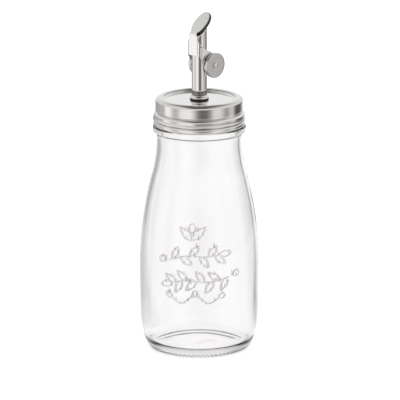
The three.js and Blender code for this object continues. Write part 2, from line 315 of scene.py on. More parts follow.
def heel_radius(z):
    """Radius of the rounded heel at height z."""
    rest = np.clip(1 - z / HEEL_HEIGHT, 0, 1)
    return CONTACT_RADIUS + (HEEL_RADIUS - CONTACT_RADIUS) * math.sqrt(1 - rest * rest)


def bottle_outside():
    """From the contact ring up the outside to the lip."""
    heel = [(heel_radius(HEEL_HEIGHT * t * t), HEEL_HEIGHT * t * t) for t in np.linspace(0.03, 1, 34)[:-1]]
    body = smooth_curve(BODY_POINTS, 10)
    ring = [
        *smooth_curve([(26.45, 134.4), (26.6, 135.8), (26.9, 136.6), (27.5, 137.0)], 4),
        *arc(28.1, 137.75, 0.7, -75, 0, 5), (28.8, 139.5), *arc(28.2, 139.9, 0.6, 0, 90, 5),
        (25.9, 140.5), *arc(25.9, 141.0, 0.5, 270, 180, 3),
    ]
    lip = [(25.4, 147), (25.4, 154.2), *arc(24.2, 154.3, 1.2, 0, 90, 6)]
    return heel, body, [*ring, *lip]


def bottle_inside():
    """From the lip down the inside to the middle of the floor."""
    lip = [(23.3, MOUTH_TOP), *arc(23.3, MOUTH_TOP - 0.7, 0.7, 90, 180, 4), (22.6, 148), (22.6, 141)]
    throat = smooth_curve([(22.6, 141), (22.9, 138), (23.5, 134.5), (23.9, 130.5)], 5)
    walls = [(r - WALL, z) for r, z in reversed(smooth_curve(BODY_POINTS[:-1], 5))]
    heel = smooth_curve([
        (34.0, 24), (33.9, 18), (33.6, 13), (33.1, 9.6), (32.3, 7.2), (31.2, 5.8), (29.8, 5.25), (28, 5.15),
        (24, 5.2),
    ], 5)
    floor = [(16, FLOOR_HEIGHT - 0.3), (8, FLOOR_HEIGHT - 0.1), (0, FLOOR_HEIGHT)]
    return [*lip, *throat, *walls[1:], *heel, *floor]


def bottle_under():
    """From the middle of the push-up out to the contact ring."""
    return [
        (0, PUSH_UP_HEIGHT), (7, PUSH_UP_HEIGHT), (14, PUSH_UP_HEIGHT - 0.05),
        *smooth_curve([(19, 1.3), (23, 0.9), (25.6, 0.4), (26.9, 0.05)], 3), (28.2, 0.0),
        (CONTACT_RADIUS, 0.0),
    ]


def emblem_angles():
    """Angles round the bottle, closer together across the embossed face."""
    teeth = np.arange(KNURL_TEETH * 3) * TURN / (KNURL_TEETH * 3)
    off_face = np.abs((teeth - FACING_ANGLE + math.pi) % TURN - math.pi) > EMBLEM_HALF_ANGLE
    face = FACING_ANGLE + np.arange(-EMBLEM_HALF_ANGLE, EMBLEM_HALF_ANGLE, EMBLEM_SWING)
    return np.sort(np.concatenate([teeth[off_face], face % TURN]))


def paint_edge_shade(piece):
    """Stores painted shade for the embossing at each point: darker where it is steep, 3 times as much on the
    lines' upper left sides.
    """
    count = len(piece.data.vertices)
    points = np.empty(count * 3)
    piece.data.vertices.foreach_get("co", points)
    points = points.reshape(-1, 3) / MM
    s = np.radians(from_front(np.arctan2(points[:, 1], points[:, 0]))) * EMBLEM_RADIUS + EMBLEM_SHIFT
    z = points[:, 2]
    outer = (np.hypot(points[:, 0], points[:, 1]) > OUTER_FACE) & (z > EMBLEM_LOW) & (z < EMBLEM_HIGH)
    edge_shade = np.zeros(count)
    step = SLOPE_STEP
    across = raised_lines(s[outer] + step, z[outer]) - raised_lines(s[outer] - step, z[outer])
    upward = raised_lines(s[outer], z[outer] + step) - raised_lines(s[outer], z[outer] - step)
    slope = np.hypot(across, upward) / (2 * step)
    shaded_side = (across * 0.75 - upward * 0.66) / (2 * step)
    steepest = math.pi / 2 * LINE_HEIGHT / LINE_HALF_WIDTH
    # painted shade: steep flanks darker, more so on their upper left sides
    edge_shade[outer] = np.clip((0.65 * slope + 0.35 * shaded_side) / steepest, 0, 1)
    layer = piece.data.attributes.new("painted_edge_shade", "FLOAT", "POINT")
    layer.data.foreach_set("value", edge_shade)


def bottle():
    """The glass, with its embossed face and the ticks round the ring that it stands on."""
    heel, body, finish = bottle_outside()
    outside = respaced(body, lambda z: EMBLEM_STEP if EMBLEM_LOW < z < EMBLEM_HIGH else 1.4)
    profile = [*bottle_under(), *heel, *outside, *finish, *bottle_inside()]
    angles = emblem_angles()
    radius = np.repeat(np.array([p[0] for p in profile])[:, None], len(angles), axis=1)
    height = np.repeat(np.array([p[1] for p in profile])[:, None], len(angles), axis=1)

    first = len(bottle_under()) + len(heel)
    face = slice(first, first + len(outside))
    across = ((angles - FACING_ANGLE + math.pi) % TURN - math.pi)[None, :] * EMBLEM_RADIUS + 0 * radius[face]
    radius[face] += raised_lines(across + EMBLEM_SHIFT, height[face])
    reach = np.maximum(np.abs(np.cos(angles)), np.abs(np.sin(angles)))[None, :]
    radius[face] = np.minimum(radius[face], WIDEST / reach)

    base = slice(0, len(bottle_under()) + len(heel))
    wave = 0.5 - 0.5 * np.cos(KNURL_TEETH * angles)[None, :]
    band = np.exp(-(((radius[base] - KNURL_RADIUS) / KNURL_REACH) ** 2)) * (height[base] < 4.0)
    height[base] += KNURL_HEIGHT * wave * band

    points = np.stack([radius * np.cos(angles), radius * np.sin(angles), height], axis=-1)
    faces = grid_faces(len(profile), len(angles), close_rows=False)
    piece = make_object("glass_bottle", points.reshape(-1, 3), faces, sharp_angle=60)
    # paints shade onto the steep edges of the embossing
    paint_edge_shade(piece)
    return piece


# ---------- lid ----------


def eased(value, low, high):
    """0 below low and 1 above high, with a smooth passage between."""
    share = np.clip((value - low) / (high - low), 0, 1)
    return share * share * (3 - 2 * share)


def screw_band():
    """The rolled band: crowned top, plain side, threaded skirt and a curled lower edge."""
    columns = 288
    angles = np.arange(columns) * TURN / columns
    crown = smooth_curve([
        (BAND_EYE, 157.85), (22.3, 158.12), (22.9, 158.24), (23.8, BAND_TOP), (24.7, 158.25), (25.5, 158.02),
        (26.2, 157.7), (26.8, 157.25), (27.15, 156.7), (BAND_RADIUS, 156.0),
    ], 4)
    side = [(BAND_RADIUS, z) for z in np.linspace(155.5, 150.4, 9)]
    crease = [(27.28, 150.28), (27.05, 150.05), (26.5, 149.9), (26.4, 149.6), (26.6, 149.3)]
    skirt = smooth_curve([
        (27.3, 149.15), (27.85, 148.7), (28.2, 148.1), (28.32, 147.4), (28.42, 146.6), (28.66, 145.9),
        (28.86, 145.35), (28.88, 145.0), (28.6, 144.72),
    ], 8)
    notch = [(28.0, 144.62), (27.1, 144.56), (26.85, 144.32), (27.0, 144.05), (27.8, 143.92)]
    curl = smooth_curve([
        (28.15, 143.7), (28.42, 143.1), (28.45, 142.4), (28.3, 141.75), (27.95, 141.15), (27.5, BAND_BOTTOM),
    ], 5)
    inner = [
        (26.9, BAND_BOTTOM + 0.05), (26.55, 141.7), (26.5, 143), (26.5, 144.2), (26.55, 146), (26.3, 149),
    ]
    inner += [(26.15, 150), (26.85, 150.6), (26.85, 156.0), (26.4, 157.0), (25.4, 157.6), (24, 157.82)]
    inner += [(23, 157.8), (BAND_EYE + 0.3, 157.62)]
    profile = [*crown, *side, *crease, *skirt, *notch, *curl, *inner]
    radius = np.array([p[0] for p in profile])[:, None] + 0 * angles[None, :]
    height = np.array([p[1] for p in profile])[:, None] + 0 * angles[None, :]
    front = from_front(angles)[None, :]

    first = len(crown) + len(side)
    shallow = eased(front, 30, 80) * (1 - eased(front, 120, 170))
    creased = slice(first, first + len(crease))
    radius[creased] += (27.15 - radius[creased]) * 0.75 * shallow

    worked = slice(first + len(crease), first + len(crease) + len(skirt))
    groove_height = 147.0 - 1.7 * np.clip(front / 95, 0, 1) ** 1.6
    groove = np.cos(np.clip((height[worked] - groove_height) / 0.62, -1, 1) * math.pi / 2) ** 2
    radius[worked] -= 0.95 * groove * eased(front, -9, 9) * (1 - eased(front, 110, 150))
    points = np.stack([radius * np.cos(angles), radius * np.sin(angles), height], axis=-1)
    return make_object("steel_band", points.reshape(-1, 3), grid_faces(len(profile), columns, True), 50)


def lid_disc():
    """The pressed disc: sunk mirror panel, step and outer channel."""
    hole = TUBE_RADIUS + 0.05
    top = [
        (hole, PANEL_TOP), (12, PANEL_TOP), (20.4, PANEL_TOP), *arc(20.6, PANEL_TOP + 0.3, 0.3, 270, 350, 4),
        *arc(21.75, DISC_RIM_TOP - 0.4, 0.4, 170, 90, 5), (DISC_RADIUS - 0.5, DISC_RIM_TOP),
        *arc(DISC_RADIUS - 0.5, DISC_RIM_TOP - 0.5, 0.5, 90, 0, 4),
    ]
    under = [
        (DISC_RADIUS - 0.4, DISC_RIM_TOP - 0.55), (22.0, DISC_RIM_TOP - DISC_SHEET),
        (21.5, PANEL_TOP - 0.1), (21.1, PANEL_TOP - DISC_SHEET), (hole, PANEL_TOP - DISC_SHEET),
    ]
    return turned("lid_panel", [*top, *under], columns=160)


# ---------- spout ----------


def flap_plane(x, depth):
    """Height of the plane that lies depth below the flap's top face."""
    return FLAP_CENTRE[1] + (x - FLAP_CENTRE[0]) * math.tan(SLOPE) - depth / math.cos(SLOPE)


def spout_tube():
    """A thin tube with its mouth cut on the slant of the flap."""
    columns = 96
    angles = np.arange(columns) * TURN / columns
    mouth_depth = SHEET + SEAL["gap"] + SEAL["thickness"] + 0.2
    rows = []
    stations = np.linspace(0, 1, 30)
    for radius, order in ((TUBE_RADIUS, stations), (TUBE_BORE, stations[::-1])):
        top = flap_plane(radius * np.cos(angles), mouth_depth)
        for share in order:
            z = TUBE_BOTTOM + (top - TUBE_BOTTOM) * share
            rows.append(np.stack([radius * np.cos(angles), radius * np.sin(angles), z], axis=-1))
    tube = make_object("pour_tube", np.concatenate(rows), grid_faces(len(rows), columns, True))
    rounded_edges(tube, 0.12)
    return tube


def spout_collar():
    """The rolled bead round the foot of the tube."""
    inner = TUBE_RADIUS + 0.05
    low = FOOT_TOP + 0.05
    half = COLLAR_BEAD / 2
    bead = arc(COLLAR_RADIUS - 0.7, low + half - 0.15, 0.7, -88, 70, 14)
    neck = [(inner + 0.28, low + COLLAR_BEAD - 0.3), (inner + 0.1, low + COLLAR_BEAD - 0.1)]
    return turned("tube_collar", [(inner, low), *bead, *neck, (inner, low + COLLAR_BEAD)], columns=96)


def foot_ring():
    """A thin black ring under the collar, between it and the panel."""
    inner = TUBE_RADIUS + 0.05
    low = PANEL_TOP + 0.04
    edge = arc(COLLAR_RADIUS - 0.1, low + 0.1, 0.1, -90, 0, 4)
    edge += arc(COLLAR_RADIUS - 0.1, FOOT_TOP - 0.1, 0.1, 0, 90, 4)
    return turned("foot_ring", [(inner, low), *edge, (inner, FOOT_TOP)], columns=96)


# ---------- flap ----------


def quadratic(start, control, end, steps=10):
    """Points after start along a curve that leans towards control."""
    t = np.linspace(0, 1, steps + 1)[1:, None]
    start, control, end = map(np.array, (start, control, end))
    return [tuple(p) for p in (1 - t) ** 2 * start + 2 * t * (1 - t) * control + t ** 2 * end]


FRONT_HALF = CHEEK_FACE - BEND
MID_BEND = BEND - SHEET / 2
BEND_LENGTH = MID_BEND * math.pi / 2
CHEEK_START = FRONT_HALF + BEND_LENGTH
FOLD_RADIUS = 1.3
FOLD_ANGLE = math.pi / 2 - SLOPE
FOLD_CORNER = flap_plane(-SADDLE_FRONT + SHEET / 2, SHEET / 2)
FOLD_START = FOLD_CORNER - FOLD_RADIUS * math.tan(FOLD_ANGLE / 2)
FOLD_END = FOLD_START + FOLD_RADIUS * FOLD_ANGLE


def blank_from_side(x, z):
    """Place on the flat blank of a point of the side view."""
    if x >= BEND - SADDLE_FRONT:
        return CHEEK_START + x - BEND + SADDLE_FRONT, z
    swing = math.acos(min(1.0, (BEND - SADDLE_FRONT - x) / BEND))
    return FRONT_HALF + MID_BEND * swing, z


def plate_centre():
    """Distance up the blank of the middle of the plate."""
    end_x = -SADDLE_FRONT + SHEET / 2 + FOLD_RADIUS * math.tan(FOLD_ANGLE / 2) * math.cos(SLOPE)
    middle_x = FLAP_CENTRE[0] + SHEET / 2 * math.sin(SLOPE)
    return FOLD_END + (middle_x - end_x) / math.cos(SLOPE)


def half_outline():
    """Half of the blank's outline, from the lower edge of the saddle up to the tip of the plate."""
    wx, wz = WEIGHT["x"], WEIGHT["z"]
    side = [(-4.9, SADDLE_LOW)]
    side += quadratic(side[-1], (-3.9, 183.6), (-2.9, 181.9))
    side += quadratic(side[-1], (-1.2, 179.6), (-1.1, 177.2))
    side += quadratic(side[-1], (-0.8, 174.2), (wx - 3.9, wz - 3.7))
    side += [
        (wx + LUG_RADIUS * math.cos(a), wz + LUG_RADIUS * math.sin(a)) for a in np.linspace(-2.30, 0.9, 24)
    ]
    side += quadratic(side[-1], (5.4, 186.6), (3.0, 187.5))
    side += quadratic(side[-1], (0.6, 188.2), (-1.0, 189.7))
    side += quadratic(side[-1], (-2.6, 190.6), (-4.3, 190.3))
    side += [(-4.6, 190.8), (-4.45, 191.4), (-3.95, 191.9)]
    side += quadratic(side[-1], (-5.3, 192.9), (-5.59, 195.0), 8)
    outline = [blank_from_side(x, z) for x, z in side]
    notch_s, notch_r = 3.05, 0.45
    outline.append((3.42, FOLD_START - 0.25))
    outline += [
        (notch_s + notch_r * math.cos(a), FOLD_START - 0.1 + notch_r * math.sin(a))
        for a in np.linspace(-0.6, -math.pi, 7)
    ]
    middle = plate_centre()
    reach = math.asin(NECK_HALF_WIDTH / (FLAP_WIDTH / 2))
    for a in np.linspace(reach, math.pi, 40):
        outline.append((FLAP_WIDTH / 2 * math.sin(a), middle - FLAP_LENGTH / 2 * math.cos(a)))
    return [(0.0, SADDLE_LOW), (2.0, SADDLE_LOW), (3.5, SADDLE_LOW), *outline]


def bent(s, t):
    """The place in space of a point of the blank: wrapped round the tube and folded over the mouth."""
    side = np.sign(s)
    reach = np.abs(s)
    swing = np.clip((reach - FRONT_HALF) / MID_BEND, 0, math.pi / 2)
    x = BEND - SADDLE_FRONT - MID_BEND * np.cos(swing) + np.clip(reach - CHEEK_START, 0, None)
    y = side * (np.minimum(reach, FRONT_HALF) + MID_BEND * np.sin(swing))
    z = np.minimum(t, FOLD_START)
    above = t > FOLD_START
    turn = np.clip((t - FOLD_START) / FOLD_RADIUS, 0, FOLD_ANGLE)
    past = np.clip(t - FOLD_END, 0, None)
    lean = FOLD_RADIUS * (1 - np.cos(turn)) + past * math.sin(FOLD_ANGLE)
    rise = FOLD_RADIUS * np.sin(turn) + past * math.cos(FOLD_ANGLE)
    x = np.where(above, SHEET / 2 - SADDLE_FRONT + lean, x)
    y = np.where(above, s, y)
    z = np.where(above, FOLD_START + rise, z)
    return np.stack([x, y, z], axis=-1)


def inside_outline(points, outline):
    """Which points lie inside the closed outline."""
    px, py = points[:, 0], points[:, 1]
    inside = np.zeros(len(points), bool)
    for (x0, y0), (x1, y1) in zip(outline, outline[1:] + outline[:1]):
        crosses = (y0 > py) != (y1 > py)
        slope = (x1 - x0) / (y1 - y0) if y1 != y0 else 0.0
        inside ^= crosses & (px < x0 + (py - y0) * slope)
    return inside


def flap_sheet():
    """The bent flap: one sheet cut to its outline, meshed flat and then bent."""
    half = half_outline()
    outline = half + [(-s, t) for s, t in reversed(half) if abs(s) > 1e-6]
    step = FLAP_MESH_STEP
    grid_s = np.arange(-21 * step, 21.01 * step, step)
    grid_t = np.arange(172, 217, step)
    wide_s = np.arange(-23, 23, step)
    grid = np.array([(s, t) for t in grid_t for s in (wide_s if t < 193 else grid_s)])
    grid = grid[inside_outline(grid, outline)]
    ring = np.array(outline)
    gap = np.array([np.hypot(*(ring - p).T).min() for p in grid])
    points = [Vector(p) for p in outline] + [Vector(p) for p in grid[gap > step * 0.6]]
    edges = [(i, (i + 1) % len(outline)) for i in range(len(outline))]
    flat, _, faces, *_ = delaunay_2d_cdt(points, edges, [], 1, 1e-4)
    flat = np.array([tuple(p) for p in flat])
    piece = make_object("flap_sheet", bent(flat[:, 0], flat[:, 1]), [tuple(f) for f in faces])
    thicken = piece.modifiers.new("sheet", "SOLIDIFY")
    thicken.thickness = SHEET * MM
    thicken.offset = 0
    thicken.use_even_offset = True
    apply_modifiers(piece)
    rounded_edges(piece, 0.13, segments=2, angle=60)
    return piece


def in_flap_plane(local, depth=0.0):
    """Moves points given along, across and out of the flap's top face into place."""
    along, across, out = local[:, 0], local[:, 1], local[:, 2] - depth
    x = FLAP_CENTRE[0] + along * math.cos(SLOPE) - out * math.sin(SLOPE)
    z = FLAP_CENTRE[1] + along * math.sin(SLOPE) + out * math.cos(SLOPE)
    return np.stack([x, across, z], axis=-1)


def flap_seal():
    """The rubber pad under the plate, with rounded rims."""
    columns = 72
    angles = np.arange(columns) * TURN / columns
    thickness = SEAL["thickness"]
    edge = 0.2
    rows = [(0.0, 0.0, 0.0), (0.5, 0.0, 0.0), (1.0, -edge, 0.0)]
    turns = np.linspace(0.2, math.pi / 2, 5)
    rows += [(1.0, -edge * (1 - math.sin(a)), -edge * (1 - math.cos(a))) for a in turns]
    rows += [(1.0, -edge * (1 - math.sin(a)), -thickness + edge * (1 - math.cos(a))) for a in turns[::-1]]
    rows += [(1.0, -edge, -thickness), (0.5, 0.0, -thickness), (0.0, 0.0, -thickness)]
    points = []
    for scale, inset, out in rows:
        along = (SEAL["length"] / 2 * scale + inset) * np.cos(angles)
        across = (SEAL["width"] / 2 * scale + inset) * np.sin(angles)
        along = np.maximum(along, -6.9)
        points.append(np.stack([along, across, 0 * along + out], axis=-1))
    local = np.concatenate(points)
    placed = in_flap_plane(local, SHEET + SEAL["gap"])
    return make_object("flap_pad", placed, grid_faces(len(rows), columns, False), 40)


def turned_along_y(name, profile, side, columns=96):
    """A solid of revolution about the weights' axis; profile is radius and distance out from the middle."""
    piece = turned(name, profile, columns)
    aim = Matrix.Rotation(math.radians(-90 * side), 4, "X")
    piece.data.transform(Matrix.Translation((WEIGHT["x"] * MM, 0, WEIGHT["z"] * MM)) @ aim)
    return piece


def weight_disc(name, side):
    """A turned steel disc with rounded rims and a shallow dish round the rivet."""
    radius, face = WEIGHT["radius"], WEIGHT["face"]
    inner = face - WEIGHT["thickness"]
    rim = 0.35
    hole = RIVET["radius"] + 0.05
    profile = [
        (hole, inner), (radius - rim, inner), *arc(radius - rim, inner + rim, rim, -90, 0, 5),
        *arc(radius - rim, face - rim, rim, 0, 90, 5), (5.2, face), (2.9, face - 0.02),
        (2.3, face - 0.10), (1.75, face - 0.16), (hole, face - 0.16),
    ]
    return turned_along_y(name, profile, side)


def rivet_head(name, side):
    """A rivet with a low domed head and a dimple in it."""
    face = WEIGHT["face"] - 0.1
    head, dome = RIVET["head"], RIVET["dome"]
    foot = CHEEK_FACE - SHEET
    profile = [(0, foot), (RIVET["radius"], foot), (RIVET["radius"], face), (head, face)]
    profile += [(head * math.cos(a), face + dome * math.sin(a)) for a in np.linspace(0.15, 1.15, 8)]
    profile += [(0.35, face + dome * 0.86), (0.15, face + dome * 0.74), (0, face + dome * 0.7)]
    return turned_along_y(name, profile, side, columns=48)


# ---------- materials ----------


def new_material(name):
    """A material with its nodes, links and shader."""
    material = bpy.data.materials.new(name)
    material.use_nodes = True
    nodes = material.node_tree.nodes
    return material, nodes, material.node_tree.links, nodes["Principled BSDF"]


def calculate(nodes, links, operation, *values):
    """One arithmetic step; each value is a number or a socket."""
    node = nodes.new("ShaderNodeMath")
    node.operation = operation
    for slot, value in zip(node.inputs, values):
        if isinstance(value, (int, float)):
            slot.default_value = value
        else:
            links.new(value, slot)
    return node.outputs[0]


def ranged(nodes, links, value, low, high):
    """The value's place between low and high, held to 0..1."""
    node = nodes.new("ShaderNodeMapRange")
    node.inputs["From Min"].default_value = low
    node.inputs["From Max"].default_value = high
    links.new(value, node.inputs["Value"])
    return node.outputs["Result"]


def mixed(nodes, links, share, first, second):
    """From the first colour to the second as share goes from 0 to 1; each is a colour or a socket."""
    node = nodes.new("ShaderNodeMix")
    node.data_type = "RGBA"
    links.new(share, node.inputs["Factor"])
    for socket, colour in (("A", first), ("B", second)):
        if isinstance(colour, tuple):
            node.inputs[socket].default_value = colour
        else:
            links.new(colour, node.inputs[socket])
    return node.outputs["Result"]


def combine(nodes, links, sources, scales):
    """A vector whose parts are the sources times the scales."""
    vector = nodes.new("ShaderNodeCombineXYZ")
    for i, (source, scale) in enumerate(zip(sources, scales)):
        links.new(calculate(nodes, links, "MULTIPLY", source, scale), vector.inputs[i])
    return vector.outputs[0]


def position(nodes, links):
    """The point on the piece in metres, split into its parts."""
    place = nodes.new("ShaderNodeTexCoord")
    parts = nodes.new("ShaderNodeSeparateXYZ")
    links.new(place.outputs["Object"], parts.inputs[0])
    return parts.outputs


def distance_from(nodes, links, a, b, centre=(0.0, 0.0)):
    """Distance of the point from a centre, measured over two of its parts."""
    squares = []
    for source, middle in zip((a, b), centre):
        shifted = calculate(nodes, links, "SUBTRACT", source, middle)
        squares.append(calculate(nodes, links, "POWER", shifted, 2))
    return calculate(nodes, links, "SQRT", calculate(nodes, links, "ADD", *squares))


def noise(nodes, links, vector, scale, detail=3.0):
    """Soft noise between 0 and 1."""
    texture = nodes.new("ShaderNodeTexNoise")
    texture.inputs["Scale"].default_value = scale
    texture.inputs["Detail"].default_value = detail
    links.new(vector, texture.inputs["Vector"])
    return texture.outputs["Fac"]


def ramp(nodes, links, factor, low, high, low_at=0.3, high_at=0.7):
    """Colours from low to high as factor goes from low_at to high_at."""
    node = nodes.new("ShaderNodeValToRGB")
    node.color_ramp.elements[0].position = low_at
    node.color_ramp.elements[0].color = (*low, 1)
    node.color_ramp.elements[1].position = high_at
    node.color_ramp.elements[1].color = (*high, 1)
    links.new(factor, node.inputs[0])
    return node.outputs["Color"]


def spread(nodes, links, factor, low, high):
    """The factor mapped from 0..1 to low..high."""
    node = nodes.new("ShaderNodeMapRange")
    node.inputs["To Min"].default_value = low
    node.inputs["To Max"].default_value = high
    links.new(factor, node.inputs["Value"])
    return node.outputs["Result"]


def bump(nodes, links, shader, height, strength, distance):
    """Roughens the shader's surface by the height."""
    node = nodes.new("ShaderNodeBump")
    node.inputs["Strength"].default_value = strength
    node.inputs["Distance"].default_value = distance
    links.new(height, node.inputs["Height"])
    links.new(node.outputs["Normal"], shader.inputs["Normal"])


def steel(name, low, high, roughness, streaks, bump_strength):
    """Steel with a fine grain; streaks(nodes, links) gives the vector that the grain follows."""
    material, nodes, links, shader = new_material(name)
    shader.inputs["Metallic"].default_value = 1.0
    vector = streaks(nodes, links)
    grain = noise(nodes, links, vector, 1.0, 4.0)
    links.new(ramp(nodes, links, grain, low, high), shader.inputs["Base Color"])
    links.new(spread(nodes, links, grain, *roughness), shader.inputs["Roughness"])
    bump(nodes, links, shader, grain, bump_strength, 0.00002)
    return material, shader


def round_grain(nodes, links):
    """Grain that runs round the Z axis."""
    x, y, z = position(nodes, links)
    across = calculate(nodes, links, "ADD", distance_from(nodes, links, x, y), z)
    return combine(nodes, links, (x, y, across), (26, 26, 5200))


def upright_grain(nodes, links):
    """Grain that runs up the Z axis."""
    return combine(nodes, links, position(nodes, links), (2600, 2600, 14))


def fine_grain(nodes, links):
    """An even, slightly stretched satin grain."""
    return combine(nodes, links, position(nodes, links), (900, 1500, 900))


def turned_grain(nodes, links):
    """Grain in rings round the weights' axis."""
    x, y, z = position(nodes, links)
    radius = distance_from(nodes, links, x, z, (WEIGHT["x"] * MM, WEIGHT["z"] * MM))
    return combine(nodes, links, (radius, x, z), (4200, 60, 60))


def glass():
    """Clear glass, a little warm in depth, with painted shade on the embossing's steep edges."""
    material, nodes, links, shader = new_material("clear_glass")
    # painted shade: darkens the base colour along the embossing's steep edges
    lines = nodes.new("ShaderNodeAttribute")
    lines.attribute_name = "painted_edge_shade"
    shade = ranged(nodes, links, lines.outputs["Fac"], 0.12, 0.75)
    colour = mixed(nodes, links, shade, (0.995, 0.988, 0.988, 1), (0.24, 0.235, 0.23, 1))
    links.new(colour, shader.inputs["Base Color"])
    shader.inputs["Transmission Weight"].default_value = 1.0
    shader.inputs["IOR"].default_value = 1.48
    shader.inputs["Roughness"].default_value = 0.0
    vector = combine(nodes, links, position(nodes, links), (1, 1, 0.5))
    ripple = noise(nodes, links, vector, 45.0, 1.5)
    bump(nodes, links, shader, ripple, 0.25, 0.0008)
    tint = nodes.new("ShaderNodeVolumeAbsorption")
    tint.inputs["Color"].default_value = (0.30, 0.24, 0.24, 1)
    tint.inputs["Density"].default_value = 4.5
    links.new(tint.outputs["Volume"], nodes["Material Output"].inputs["Volume"])
    return material


def rubber(name, low, high, roughness):
    """Dull rubber with a fine speckle."""
    material, nodes, links, shader = new_material(name)
    vector = combine(nodes, links, position(nodes, links), (1, 1, 1))
    speckle = noise(nodes, links, vector, 2500.0)
    links.new(ramp(nodes, links, speckle, low, high), shader.inputs["Base Color"])
    links.new(spread(nodes, links, speckle, *roughness), shader.inputs["Roughness"])
    bump(nodes, links, shader, speckle, 0.2, 0.00003)
    return material


def make_materials():
    """Every material of the bottle, by a short name."""
    brushed, brushed_shader = steel(
        "brushed_steel", (0.66, 0.64, 0.62), (0.84, 0.82, 0.80), (0.10, 0.20), round_grain, 0.15)
    brushed_shader.inputs["Anisotropic"].default_value = 0.5
    polished, _ = steel(
        "polished_tube", (0.72, 0.67, 0.66), (0.86, 0.83, 0.82), (0.03, 0.09), upright_grain, 0.08)
    mirror, _ = steel(
        "mirror_panel", (0.74, 0.74, 0.73), (0.84, 0.84, 0.83), (0.03, 0.07), round_grain, 0.03)
    satin, _ = steel("satin_flap", (0.70, 0.69, 0.67), (0.86, 0.85, 0.84), (0.08, 0.18), fine_grain, 0.08)
    lathe, _ = steel("turned_disc", (0.58, 0.56, 0.55), (0.74, 0.72, 0.71), (0.22, 0.34), turned_grain, 0.25)
    return {
        "glass": glass(), "brushed": brushed, "polished": polished, "mirror": mirror, "satin": satin,
        "turned": lathe,
        "black": rubber("black_rubber", (0.008, 0.008, 0.008), (0.02, 0.02, 0.02), (0.45, 0.6)),
        "pale": rubber("pale_rubber", (0.70, 0.70, 0.66), (0.82, 0.82, 0.78), (0.5, 0.7)),
    }


# ---------- assembly ----------


def finish_piece(piece, material, body, replaced):
    """Gives a piece its material and the body that it moves with, and hides the CAD node it stands for."""
    piece.data.materials.clear()
    piece.data.materials.append(material)
    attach(piece, body)
    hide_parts(*replaced)


def dress_cad_node(node, material):
    """A CAD node that stays shown gets the finer material."""
    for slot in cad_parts[node].material_slots:
        slot.material = material


def assemble():
    """Builds every piece, gives it its material and body, and dresses the CAD nodes that stay shown."""
    looks = make_materials()
    vessel = bottle()
    vessel.visible_shadow = False
    finish_piece(vessel, looks["glass"], "bottle", ["bottle"])
    finish_piece(screw_band(), looks["brushed"], "band", ["screw_band"])
    finish_piece(lid_disc(), looks["mirror"], "pourer", ["lid_disc"])
    finish_piece(spout_tube(), looks["polished"], "pourer", ["spout_tube"])
    finish_piece(spout_collar(), looks["polished"], "pourer", ["spout_collar"])
    finish_piece(foot_ring(), looks["black"], "pourer", ["spout_ring"])
    finish_piece(flap_sheet(), looks["satin"], "flap", ["flap"])
    finish_piece(flap_seal(), looks["black"], "flap", ["flap_seal"])
    for name, side in (("near", -1), ("far", 1)):
        disc = weight_disc(f"weight_disc_{name}", side)
        finish_piece(disc, looks["turned"], "flap", [f"weight_{name}"])
        head = rivet_head(f"rivet_head_{name}", side)
        finish_piece(head, looks["satin"], "flap", [f"rivet_{name}"])
    dress_cad_node("lid_gasket", looks["pale"])
    dress_cad_node("spout_washer", looks["black"])
    dress_cad_node("spout_nut", looks["brushed"])
    dress_cad_node("pivot_pin", looks["satin"])


# ---------- studio ----------


def flat_material(name, colour, roughness):
    """A plain matt colour for the studio."""
    material, _, _, shader = new_material(name)
    shader.inputs["Base Color"].default_value = (*colour, 1)
    shader.inputs["Roughness"].default_value = roughness
    shader.inputs["Specular IOR Level"].default_value = 0.1
    return material


def studio_floor():
    """The pale ground."""
    bpy.ops.mesh.primitive_plane_add(size=24, location=(0, 0, 0))
    floor = bpy.context.object
    floor.name = "studio_floor"
    floor.data.materials.append(flat_material("floor_white", (0.93, 0.93, 0.93), 0.9))
    floor.visible_glossy = False
    floor.visible_transmission = False


def soft_light(name, azimuth, height, distance, size, power, aim=0.11):
    """A square soft light; azimuth is measured from the camera's side of the bottle, rightward."""
    light = bpy.data.lights.new(name, "AREA")
    light.shape = "RECTANGLE"
    light.size, light.size_y = size
    light.energy = power
    lamp = bpy.data.objects.new(name, light)
    bpy.context.scene.collection.objects.link(lamp)
    heading = FACING_ANGLE + math.radians(azimuth)
    lamp.location = (distance * math.cos(heading), distance * math.sin(heading), height)
    direction = Vector((0, 0, aim)) - lamp.location
    lamp.rotation_euler = direction.to_track_quat("-Z", "Y").to_euler()
    lamp.visible_camera = False
    lamp.visible_glossy = False
    lamp.visible_transmission = False


# Brightness that shiny surfaces and the glass see round the bottle, by degrees rightward from the camera
LEVEL_TONES = [
    (-180, 1.00), (-163, 1.00), (-154, 0.46), (-144, 0.46), (-128, 0.50), (-116, 0.62), (-104, 0.50),
    (-97, 1.10), (-84, 1.20), (-76, 0.85), (-66, 0.55), (-58, 0.62), (-48, 1.05), (-22, 1.10),
    (-12, 0.70), (-4, 0.30), (4, 0.16), (17, 0.16), (28, 0.36), (38, 0.90), (55, 0.90), (66, 0.58),
    (75, 0.36), (84, 0.60), (93, 0.85), (100, 0.50), (107, 0.12), (124, 0.09), (140, 0.35), (150, 1.10),
    (180, 1.00),
]

# The same over the top of the bottle, by degrees up from the camera's side and down to the back
OVERHEAD_TONES = [
    (0, 1.0), (22, 1.0), (30, 0.26), (60, 0.14), (112, 0.08), (128, 0.14), (142, 0.85), (180, 1.00),
]


def tone_ramp(nodes, links, factor, tones, low, high):
    """Grey tones given by angle, looked up by a factor that runs from 0 at low to 1 at high."""
    node = nodes.new("ShaderNodeValToRGB")
    stops = node.color_ramp.elements
    stops[1].position = 1.0
    for stop, (_, shade) in zip((stops[0], stops[1]), (tones[0], tones[-1])):
        stop.color = (shade, shade, shade, 1)
    for angle, shade in tones[1:-1]:
        stops.new((angle - low) / (high - low)).color = (shade, shade, shade, 1)
    links.new(factor, node.inputs[0])
    return node.outputs["Color"]


